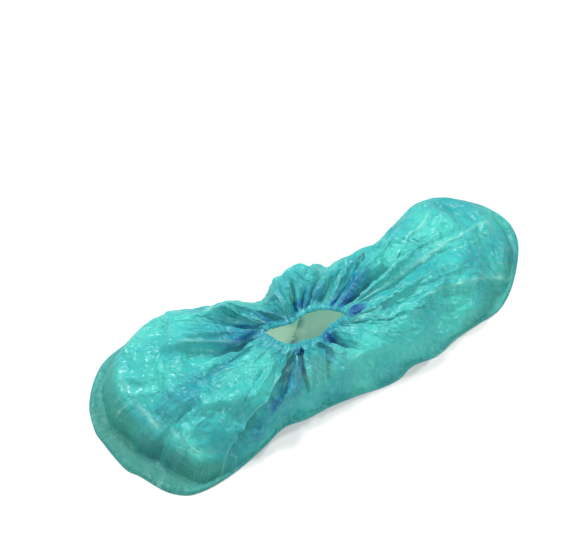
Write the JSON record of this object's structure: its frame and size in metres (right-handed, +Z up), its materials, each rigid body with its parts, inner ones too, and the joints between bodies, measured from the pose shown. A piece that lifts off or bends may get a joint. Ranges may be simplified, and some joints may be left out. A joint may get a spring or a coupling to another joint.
{
  "type": "disposable shoe cover",
  "caption": "Disposable plastic film shoe cover lying open: flat sole, puffed upper and a small opening gathered by a ruffled elastic hem.",
  "frame": {"origin": "centre of the bounding box's underside, on the surface that the sole lies on", "axes": "+X from the toe to the heel, +Y to the cover's side that is farther from the picture's camera, +Z up out of the opening"},
  "size_m": [0.3794, 0.1432, 0.0481],
  "materials": {
    "sole_film": "glossy translucent film",
    "upper_film": "glossy translucent film",
    "elastic_hem": "glossy gathered film"
  },
  "bodies": {
    "root": {"sole_film": "sole_film", "upper_film": "upper_film", "elastic_hem": "elastic_hem"}
  },
  "joints": []
}
